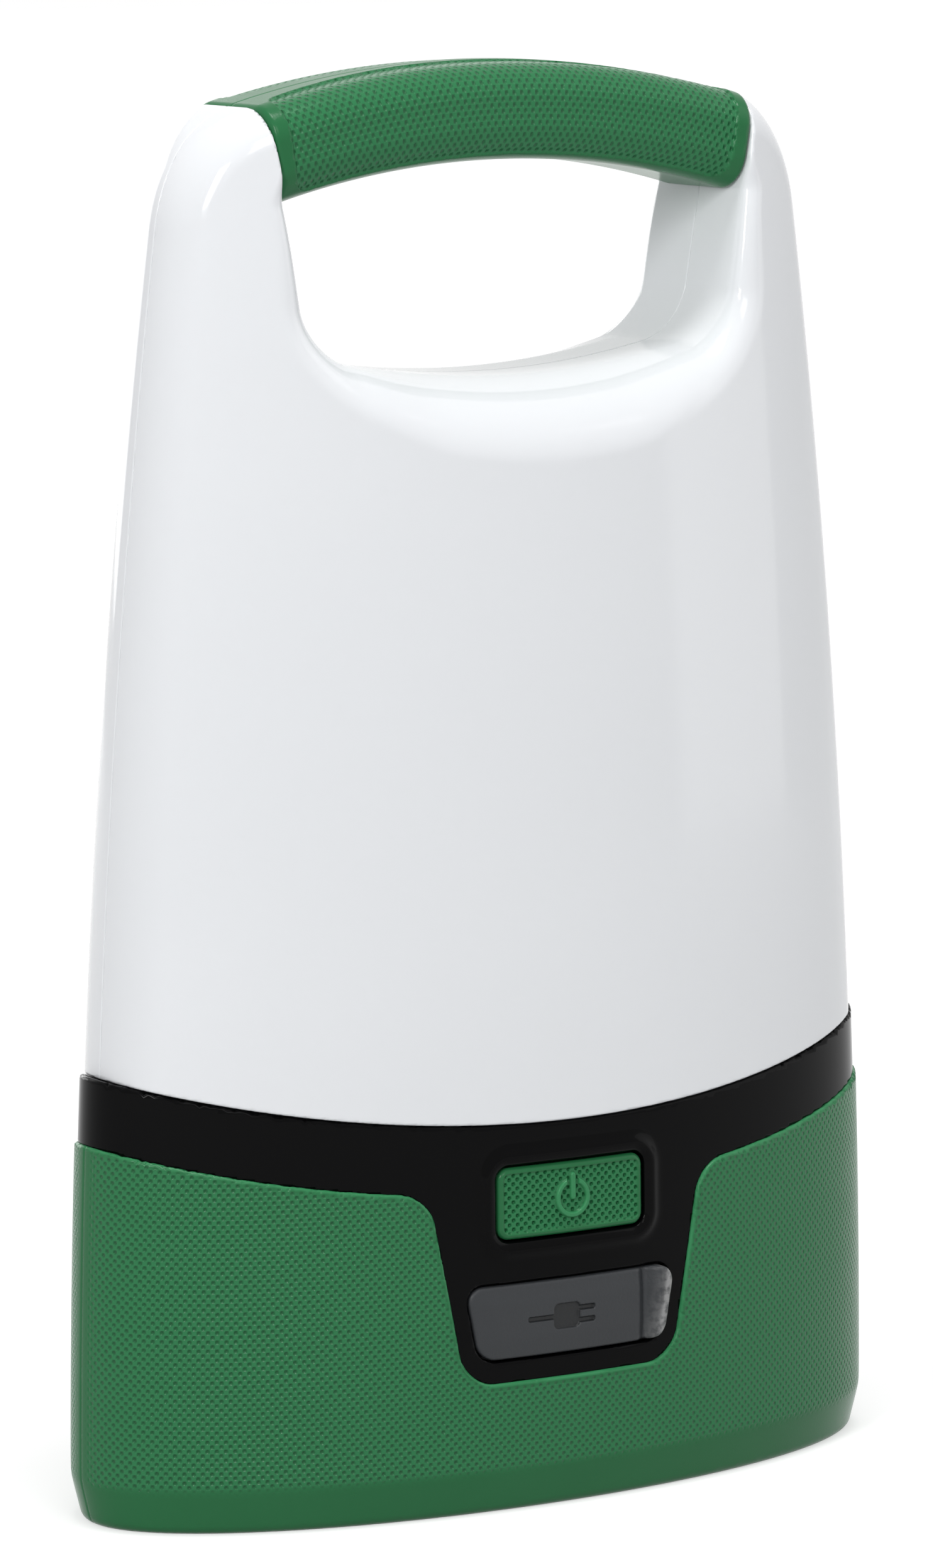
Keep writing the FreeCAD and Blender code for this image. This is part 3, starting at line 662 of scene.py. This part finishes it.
boot = {
    "step": 0.9,
    "panelStep": 0.5,
    "rimStep": 0.65,
    "seamStep": 0.25,
    "edge": 0.55,
    "floor": 1.5,
    "flange": 6.2,
    "parting": 0.12,
    "footRound": 1.2,
    "panelHalf": 30,
    "rimFrom": 16,
    "plainSeam": (1.0, 4.0),
    "plainRim": (0.5, 1.0),
    # Band along the cut edges that gets the painted highlight
    "highlightRim": (0.2, 0.6),
}
housing = {
    "step": 1.1,
    "panelStep": 0.5,
    "edge": 0.5,
    "floor": 1.55,
    "holeEdge": 0.45,
    "seatEdge": 0.3,
    "panelHalf": 26,
    "panelDeep": 21,
    "panelFrom": 19,
    "panelTo": 57,
    "top": 72,
    "depthStep": 1.3,
    "lowStep": 1.5,
    "bandStep": 0.7,
    # Middle, half width, half height and corner of each port's opening
    "sockets": ((-5.0, 6.75, 3.05, 0.5), (9.0, 3.95, 1.5, 0.5)),
}


def panelCut(x, y, z):
    half = panel["bottomHalf"] + panel["slope"] * (z - panel["bottom"])
    cut = roundBoth((np.abs(x) - half) * 0.98, panel["bottom"] - z, panel["corner"])
    return np.where(y < 0, cut, farAway)


def bootOpen(x, y, z):
    level = body["bandTop"] - body["bandHeight"]
    return roundEither(aboveBand(x, z, level), panelCut(x, y, z), panel["flare"])


def buttonOutline(x, z):
    return roundedBox(x, z - button["level"], button["half"], button["halfTall"], button["corner"])


def flapOutline(x, z):
    half = flap["half"] + flap["slope"] * (z - flap["level"])
    across = (np.abs(x) - half) * 0.98
    return roundBoth(across, np.abs(z - flap["level"]) - flap["halfTall"], flap["corner"])


def bootForm(x, y, z):
    outer = bodyForm(x, y, z, footInset(z))
    outer = outer + boot["parting"] * np.exp(-(y / body["partingWide"]) ** 2)
    outer = roundBoth(outer, -z, boot["footRound"])
    hollow = np.maximum(bodyForm(x, y, z, footInset(z) + body["bootWall"]), boot["floor"] - z)
    window = bodyForm(x, y, z, body["bootWall"] + boot["flange"])
    shell = np.maximum(outer, -np.minimum(hollow, window))
    return roundBoth(shell, -bootOpen(x, y, z), boot["edge"])


def makeBoot():
    across, deep = body["halfWidth"] + margin, body["halfDepth"] + margin
    top = body["bandTop"] + 1.5
    panelHalf, rimFrom = boot["panelHalf"], boot["rimFrom"]
    piece, points = skin(
        "base_boot_skin", bootForm,
        lines(
            (-across, -panelHalf, boot["step"]), (-panelHalf, panelHalf, boot["panelStep"]),
            (panelHalf, across, boot["step"])),
        lines((-deep, -1, boot["step"]), (-1, 1, boot["seamStep"]), (1, deep, boot["step"])),
        lines((-margin, rimFrom, boot["step"]), (rimFrom, top, boot["rimStep"])))
    patternMap(piece, *aroundBody(points))
    x, y, z = points.T
    faded = soft(np.abs(y), *boot["plainSeam"]) * soft(z, body["footHeight"] - 0.5, body["footHeight"] + 0.5)
    faded = faded * soft(bootOpen(x, y, z), *boot["plainRim"])
    facing = bodyForm(x, y, z, footInset(z)) > -0.35
    pointValue(piece, "textured", faded * facing)
    # Painted highlight: a lighter green in a narrow band along the cut edges
    pointValue(piece, "paintedHighlight", 1 - soft(np.abs(bootOpen(x, y, z)), *boot["highlightRim"]))
    finishPiece(piece, "lantern", "boot_green", "dimpled", "base_boot")


def housingForm(x, y, z):
    tucked = soft(bootOpen(x, y, z), -0.1, 0.7)
    inset = body["proud"] + (body["bootWall"] - body["proud"] + 0.05) * tucked
    outer = bodyForm(x, y, z, inset + footInset(z))
    fromButton = buttonOutline(x, z)
    front = y < 0
    rim = button["bezelRise"] * np.exp(-((fromButton - button["bezelAt"]) / button["bezelWide"]) ** 2)
    outer = outer - np.where(front, rim, 0)
    whole = roundBoth(outer, -aboveBand(x, z, body["bandTop"]), housing["edge"])
    whole = np.maximum(whole, -bodyForm(x, y, z, body["bootWall"] + body["housingWall"]))
    whole = np.maximum(whole, housing["floor"] - z)
    hole = np.where(front, fromButton - button["gap"], farAway)
    whole = roundBoth(whole, -hole, housing["holeEdge"])
    seatBack = -bodyForm(x, y, z, body["proud"] + flap["recess"])
    seat = np.maximum(flapOutline(x, z) - flap["gap"], seatBack)
    whole = roundBoth(whole, -np.where(front, seat, farAway), housing["seatEdge"])
    for middle, half, halfTall, corner in housing["sockets"]:
        socket = roundedBox(x - middle, z - flap["level"], half, halfTall, corner)
        whole = np.maximum(whole, -np.where(front, socket, farAway))
    return whole


def makeHousing():
    across, deep = body["halfWidth"] + margin, body["halfDepth"] + 1.2
    panelHalf, panelDeep = housing["panelHalf"], housing["panelDeep"]
    piece, _ = skin(
        "base_housing_skin", housingForm,
        lines(
            (-across, -panelHalf, housing["step"]), (-panelHalf, panelHalf, housing["panelStep"]),
            (panelHalf, across, housing["step"])),
        lines((-deep, -panelDeep, housing["panelStep"]), (-panelDeep, deep, housing["depthStep"])),
        lines(
            (1.0, housing["panelFrom"], housing["lowStep"]),
            (housing["panelFrom"], housing["panelTo"], housing["panelStep"]),
            (housing["panelTo"], housing["top"], housing["bandStep"])))
    finishPiece(piece, "lantern", "housing_black", "black", "base_housing")


# On-off sign: an open ring and a bar (millimetres)
powerMark = {
    "ring": 2.65,
    "stroke": 0.36,
    "opening": 1.05,
    "barLevel": 1.75,
    "barHalf": 0.42,
    "barTall": 2.05,
    "barRound": 0.4,
}


def powerSign(x, z):
    z = z - button["level"]
    ring = np.abs(np.hypot(x, z) - powerMark["ring"]) - powerMark["stroke"]
    ring = np.maximum(ring, -np.maximum(np.abs(x) - powerMark["opening"], -z))
    bar = roundedBox(
        x, z - powerMark["barLevel"], powerMark["barHalf"], powerMark["barTall"], powerMark["barRound"])
    return np.minimum(ring, bar)


def buttonForm(x, y, z):
    outline = buttonOutline(x, z)
    field = soft(-outline, button["border"], button["border"] + button["fieldEdge"])
    sign = 1 - soft(powerSign(x, z), -0.15, 0.2)
    front = bodyForm(x, y, z, body["proud"] - button["proud"])
    turn = 2 * math.pi / green["row"]
    pits = soft(np.cos(turn * x) * np.cos(turn * z), 0.1, 0.9) * soft(powerSign(x, z), 0.1, 0.3)
    front = front + (button["sink"] + button["pit"] * pits) * field - button["signRise"] * sign
    back = y + body["halfDepth"] - body["bootWall"] - body["housingWall"] - button["backGap"]
    return np.maximum(roundBoth(front, outline, button["edge"]), back)


def makeButton():
    half, tall = button["half"] + 0.5, button["halfTall"] + 0.5
    frontEnd = buttonLow.y + button["frontDeep"]
    piece, points = skin(
        "power_button_skin", buttonForm, lines((-half, half, button["step"])),
        lines((buttonLow.y - 1.0, frontEnd, 0.2), (frontEnd, buttonLow.y + 6.5, 0.7)),
        lines((button["level"] - tall, button["level"] + tall, button["step"])))
    x, y, z = points.T
    patternMap(piece, x, z)
    field = soft(-buttonOutline(x, z), button["border"] + 0.2, button["border"] + 0.5)
    pointValue(piece, "textured", field * soft(powerSign(x, z), 0.1, 0.3) * (y < frontEnd))
    # Painted highlight: a lighter green on the raised power sign
    pointValue(piece, "paintedHighlight", 1 - soft(powerSign(x, z), -0.05, 0.15))
    finishPiece(piece, "power_button", "button_green", "dimpled", "power_button")


# Plain plug sign: a body, two pins and a lead, each by half width, half height and corner (millimetres)
plugMark = {
    "shift": 1.2,
    "body": (2.3, 1.9, 0.8),
    "pin": (1.5, 0.36, 0.25),
    "pinAt": 3.5,
    "pinLevels": (-0.95, 0.95),
    "lead": (2.4, 0.36, 0.25),
    "leadAt": 4.4,
}


def plugSign(x, z):
    x, z = x + plugMark["shift"], z - flap["level"]
    shape = roundedBox(x, z, *plugMark["body"])
    for level in plugMark["pinLevels"]:
        shape = np.minimum(shape, roundedBox(x - plugMark["pinAt"], z - level, *plugMark["pin"]))
    return np.minimum(shape, roundedBox(x + plugMark["leadAt"], z, *plugMark["lead"]))


def flapForm(x, y, z):
    outline = flapOutline(x, z)
    lip = flap["lipRise"] * soft(x, flap["lipFrom"], flap["lipFull"])
    lip = lip - flap["foldDepth"] * np.exp(-((x - flap["foldAt"]) / flap["foldWide"]) ** 2)
    lip = lip - flap["pillow"] * (1 - soft(-outline, 0.0, flap["pillowWide"]))
    sign = 1 - soft(plugSign(x, z), -0.15, 0.15)
    front = bodyForm(x, y, z, body["proud"] - flap["proud"]) - lip + flap["signDepth"] * sign
    back = -bodyForm(x, y, z, body["proud"] + flap["recess"] - 0.15)
    return np.maximum(roundBoth(front, outline, flap["edge"]), back)


def makeFlap():
    tall = flap["halfTall"] + 0.5
    half = flap["half"] + flap["slope"] * tall + 0.5
    piece, points = skin(
        "port_cover_skin", flapForm, lines((-half, half, flap["step"])),
        lines((flapLow.y - 0.8, flapHigh.y + 0.8, 0.25)),
        lines((flap["level"] - tall, flap["level"] + tall, flap["step"])))
    x, y, z = points.T
    outside = bodyForm(x, y, z, body["proud"]) > -0.45
    # Painted shade: the sunk plug sign is marked darker
    pointValue(piece, "paintedSignShade", (1 - soft(plugSign(x, z), -0.1, 0.15)) * outside)
    # Worn pale along the lip's outer edge, and a weaker painted highlight up the lip's ramp
    across = x - flap["slope"] * (z - flap["level"])
    rim = 0.75 * soft(across, flap["wornFrom"], flap["wornFrom"] + 1.0)
    rim = rim + 0.25 * soft(across, flap["lipFrom"], flap["lipFull"])
    pointValue(piece, "wearAndRampHighlight", rim * outside)
    finishPiece(piece, "port_cover", "flap_grey", "flap", "port_cover")


# Bottom screws: one screw with a cross recess, repeated on the four corners of a grid
screw = {
    "headRadius": 2.6,
    "headTall": 1.4,
    "shankRadius": 1.25,
    "recessHalf": 1.45,
    "recessWide": 0.3,
    "recessDeep": 0.7,
    "headRound": 0.3,
    "recessRound": 0.1,
    "edge": 0.06,
    "slack": 0.05,
    "seed": 4,
    "step": 0.16,
}
screwLow, screwHigh = (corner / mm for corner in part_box("bottom_screws"))


def screwForm(x, y, z):
    radius = np.hypot(x, y)
    halfTall = screw["headTall"] / 2
    around = radius - screw["headRadius"] + screw["slack"]
    head = roundBoth(around, np.abs(z - halfTall) - halfTall, screw["headRound"])
    ends = np.maximum(-z, z - screwHigh.z + screwLow.z)
    shank = np.maximum(radius - screw["shankRadius"] + screw["slack"], ends)
    cross = np.minimum(
        np.maximum(np.abs(x) - screw["recessHalf"], np.abs(y) - screw["recessWide"]),
        np.maximum(np.abs(y) - screw["recessHalf"], np.abs(x) - screw["recessWide"]))
    recess = roundBoth(cross, z - screw["recessDeep"], screw["recessRound"])
    return roundBoth(np.minimum(head, shank), -recess, screw["edge"])


def cornerPattern():
    # Puts the incoming mesh on the four corners of a rectangle, each turned by chance
    tree = bpy.data.node_groups.new("cornerPattern", "GeometryNodeTree")
    tree.interface.new_socket("Geometry", in_out="INPUT", socket_type="NodeSocketGeometry")
    kinds = {"Across": "Float", "Deep": "Float", "Turn Seed": "Int", "Finish": "Material"}
    for name, kind in kinds.items():
        tree.interface.new_socket(name, in_out="INPUT", socket_type="NodeSocket" + kind)
    tree.interface.new_socket("Geometry", in_out="OUTPUT", socket_type="NodeSocketGeometry")
    nodes, links = tree.nodes, tree.links
    given, result = nodes.new("NodeGroupInput"), nodes.new("NodeGroupOutput")
    grid = nodes.new("GeometryNodeMeshGrid")
    grid.inputs["Vertices X"].default_value = 2
    grid.inputs["Vertices Y"].default_value = 2
    links.new(given.outputs["Across"], grid.inputs["Size X"])
    links.new(given.outputs["Deep"], grid.inputs["Size Y"])
    chance = nodes.new("FunctionNodeRandomValue")
    chance.data_type = "FLOAT_VECTOR"
    chance.inputs["Min"].default_value = (0, 0, 0)
    chance.inputs["Max"].default_value = (0, 0, math.pi / 2)
    links.new(given.outputs["Turn Seed"], chance.inputs["Seed"])
    copies = nodes.new("GeometryNodeInstanceOnPoints")
    links.new(grid.outputs["Mesh"], copies.inputs["Points"])
    links.new(given.outputs["Geometry"], copies.inputs["Instance"])
    links.new(chance.outputs["Value"], copies.inputs["Rotation"])
    solid = nodes.new("GeometryNodeRealizeInstances")
    links.new(copies.outputs["Instances"], solid.inputs["Geometry"])
    finish = nodes.new("GeometryNodeSetMaterial")
    links.new(solid.outputs["Geometry"], finish.inputs["Geometry"])
    links.new(given.outputs["Finish"], finish.inputs["Material"])
    links.new(finish.outputs["Geometry"], result.inputs["Geometry"])
    return tree


def makeScrews():
    side = screw["headRadius"] + 0.3
    sideLines = lines((-side, side, screw["step"]))
    piece, _ = skin(
        "bottom_screws_skin", screwForm, sideLines, sideLines,
        lines((-0.3, 1.8, 0.15), (1.8, screwHigh.z - screwLow.z + 0.4, 0.8)))
    pattern = piece.modifiers.new("corners", "NODES")
    pattern.node_group = cornerPattern()
    wanted = {
        "Across": (screwHigh.x - screwLow.x - 2 * screw["headRadius"]) * mm,
        "Deep": (screwHigh.y - screwLow.y - 2 * screw["headRadius"]) * mm,
        "Turn Seed": screw["seed"],
        "Finish": materials["steel"],
    }
    for socket in pattern.node_group.interface.items_tree:
        if socket.in_out == "INPUT" and socket.name in wanted:
            pattern[socket.identifier] = wanted[socket.name]
    bpy.context.view_layer.update()
    placed = bpy.data.meshes.new_from_object(piece.evaluated_get(bpy.context.evaluated_depsgraph_get()))
    piece.modifiers.remove(pattern)
    placed.transform(Matrix.Translation((0, 0, screwLow.z * mm)))
    piece.data = placed
    finishPiece(piece, "lantern", "steel", "steel", "bottom_screws")


makeShade()
makeGrip()
makeBoot()
makeHousing()
makeButton()
makeFlap()
makeScrews()
print("main pieces made")

# Inner pieces keep their solids and get a finish
nodeFinish = {
    "cover_anchor": "flap",
    "usb_a_port": "nickel",
    "micro_usb_port": "nickel",
    "control_board": "board",
    "board_screws": "steel",
    "tact_switch": "cover",
    "battery_cells": "cell",
    "battery_tray": "cover",
    "battery_tabs": "nickel",
    "battery_leads": "lead",
    "bottom_cover": "cover",
    "light_deck": "white",
    "deck_screws": "steel",
    "led_leads": "lead",
    "led_board": "white",
    "led_board_screws": "steel",
    "led_chips": "phosphor",
}
for nodeName, finish in nodeFinish.items():
    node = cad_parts[nodeName]
    node.data.materials.clear()
    node.data.materials.append(materials[finish])
print("finishes set")

# Stage, light and camera
stage = {
    "size": 12.0,
    "colour": (0.55, 0.55, 0.55),
    "lightLevel": 0.42,
    "roughness": 0.9,
    "nearEdge": 0.12,
    "farEdge": 0.9,
    "nearGlow": 0.58,
    "farGlow": 0.84,
}


def seenDirectly(nodes, links):
    # 1 where the camera, a reflection or a clear piece looks straight at a surface
    path = nodes.new("ShaderNodeLightPath")
    seen = mathNode(nodes, links, "MAXIMUM", path.outputs["Is Camera Ray"], path.outputs["Is Glossy Ray"])
    return mathNode(nodes, links, "MAXIMUM", seen, path.outputs["Is Transmission Ray"])


world = bpy.data.worlds.new("studio")
world.use_nodes = True
bpy.context.scene.world = world
worldNodes, worldLinks = world.node_tree.nodes, world.node_tree.links
plainSky = worldNodes["Background"]
plainSky.inputs["Color"].default_value = (1, 1, 1, 1)
plainSky.inputs["Strength"].default_value = stage["lightLevel"]
whiteSky = worldNodes.new("ShaderNodeBackground")
whiteSky.inputs["Color"].default_value = (1, 1, 1, 1)
whiteSky.inputs["Strength"].default_value = 1.0
skyMix = worldNodes.new("ShaderNodeMixShader")
worldLinks.new(seenDirectly(worldNodes, worldLinks), skyMix.inputs[0])
worldLinks.new(plainSky.outputs[0], skyMix.inputs[1])
worldLinks.new(whiteSky.outputs[0], skyMix.inputs[2])
worldLinks.new(skyMix.outputs[0], worldNodes["World Output"].inputs["Surface"])

floorMesh = bpy.data.meshes.new("floor")
reach = stage["size"] / 2
floorCorners = [(-reach, -reach, 0), (reach, -reach, 0), (reach, reach, 0), (-reach, reach, 0)]
floorMesh.from_pydata(floorCorners, [], [(0, 1, 2, 3)])
floor = bpy.data.objects.new("floor", floorMesh)
bpy.context.scene.collection.objects.link(floor)
floorMaterial, floorNodes, floorLinks = newMaterial("paleFloor")
floorShader = floorNodes["Principled BSDF"]
floorShader.inputs["Base Color"].default_value = (*stage["colour"], 1)
floorShader.inputs["Roughness"].default_value = stage["roughness"]
floorShader.inputs["Specular IOR Level"].default_value = 0.0
floorShader.inputs["Emission Color"].default_value = (1, 1, 1, 1)
# The floor glows more away from the lamps, so that it looks white all over and keeps the object's shadow
where = floorNodes.new("ShaderNodeTexCoord")
distance = floorNodes.new("ShaderNodeVectorMath")
distance.operation = "LENGTH"
floorLinks.new(where.outputs["Object"], distance.inputs[0])
paleness = rangeOf(
    floorNodes, floorLinks, distance.outputs["Value"],
    stage["nearEdge"], stage["farEdge"], stage["nearGlow"], stage["farGlow"])
seenFloor = seenDirectly(floorNodes, floorLinks)
glow = mathNode(floorNodes, floorLinks, "MULTIPLY", seenFloor, paleness)
floorLinks.new(glow, floorShader.inputs["Emission Strength"])
floorMesh.materials.append(floorMaterial)


def softbox(name, place, aim, size, power):
    lamp = bpy.data.lights.new(name, "AREA")
    lamp.shape = "RECTANGLE"
    lamp.size, lamp.size_y = size
    lamp.energy = power
    holder = bpy.data.objects.new(name, lamp)
    holder.location = place
    holder.rotation_euler = (Vector(aim) - Vector(place)).to_track_quat("-Z", "Y").to_euler()
    bpy.context.scene.collection.objects.link(holder)


# Place, aim, size (metres) and power (watts) of each lamp
lamps = {
    "leftBox": ((-1.0, -0.62, 0.62), (0, 0, 0.12), (0.22, 0.34), 5.2),
    "rightBox": ((0.9, -0.5, 0.45), (0, 0, 0.11), (0.5, 1.0), 1.3),
    "frontBox": ((-0.45, -1.15, 0.95), (0, 0, 0.12), (0.6, 0.45), 3.2),
    "rearBox": ((0.12, 1.2, 0.3), (0, 0, 0.11), (0.8, 0.5), 2.2),
    "topBox": ((-0.05, -0.17, 1.1), (0, 0, 0.12), (0.45, 0.25), 4.6),
}
for lampName, setting in lamps.items():
    softbox(lampName, *setting)

# Camera fitted to the photograph: azimuth, pitch, distance (millimetres) and focal length in pixels
view = {
    "azimuth": 32.3,
    "pitch": 8.17,
    "distance": 1077.0,
    "aside": -1.41,
    "level": 107.05,
    "focal": 11201.0,
}
photoTall = 2494


def makeCamera():
    azimuth, pitch = math.radians(view["azimuth"]), math.radians(view["pitch"])
    flat = math.cos(pitch)
    look = Vector((math.sin(azimuth) * flat, math.cos(azimuth) * flat, -math.sin(pitch)))
    right = Vector((math.cos(azimuth), -math.sin(azimuth), 0))
    up = right.cross(look)
    place = Vector((0, 0, view["level"])) - look * view["distance"] + right * view["aside"]
    lens = bpy.data.cameras.new("camera")
    lens.sensor_fit = "VERTICAL"
    lens.sensor_height = 36.0
    lens.lens = view["focal"] / photoTall * lens.sensor_height
    lens.clip_start = 0.01
    camera = bpy.data.objects.new("camera", lens)
    turn = Matrix((right, up, -look)).transposed()
    camera.matrix_world = Matrix.Translation(place * mm) @ turn.to_4x4()
    bpy.context.scene.collection.objects.link(camera)
    bpy.context.scene.camera = camera


makeCamera()
bpy.context.scene.view_settings.view_transform = "Standard"
print("stage, light and camera set")
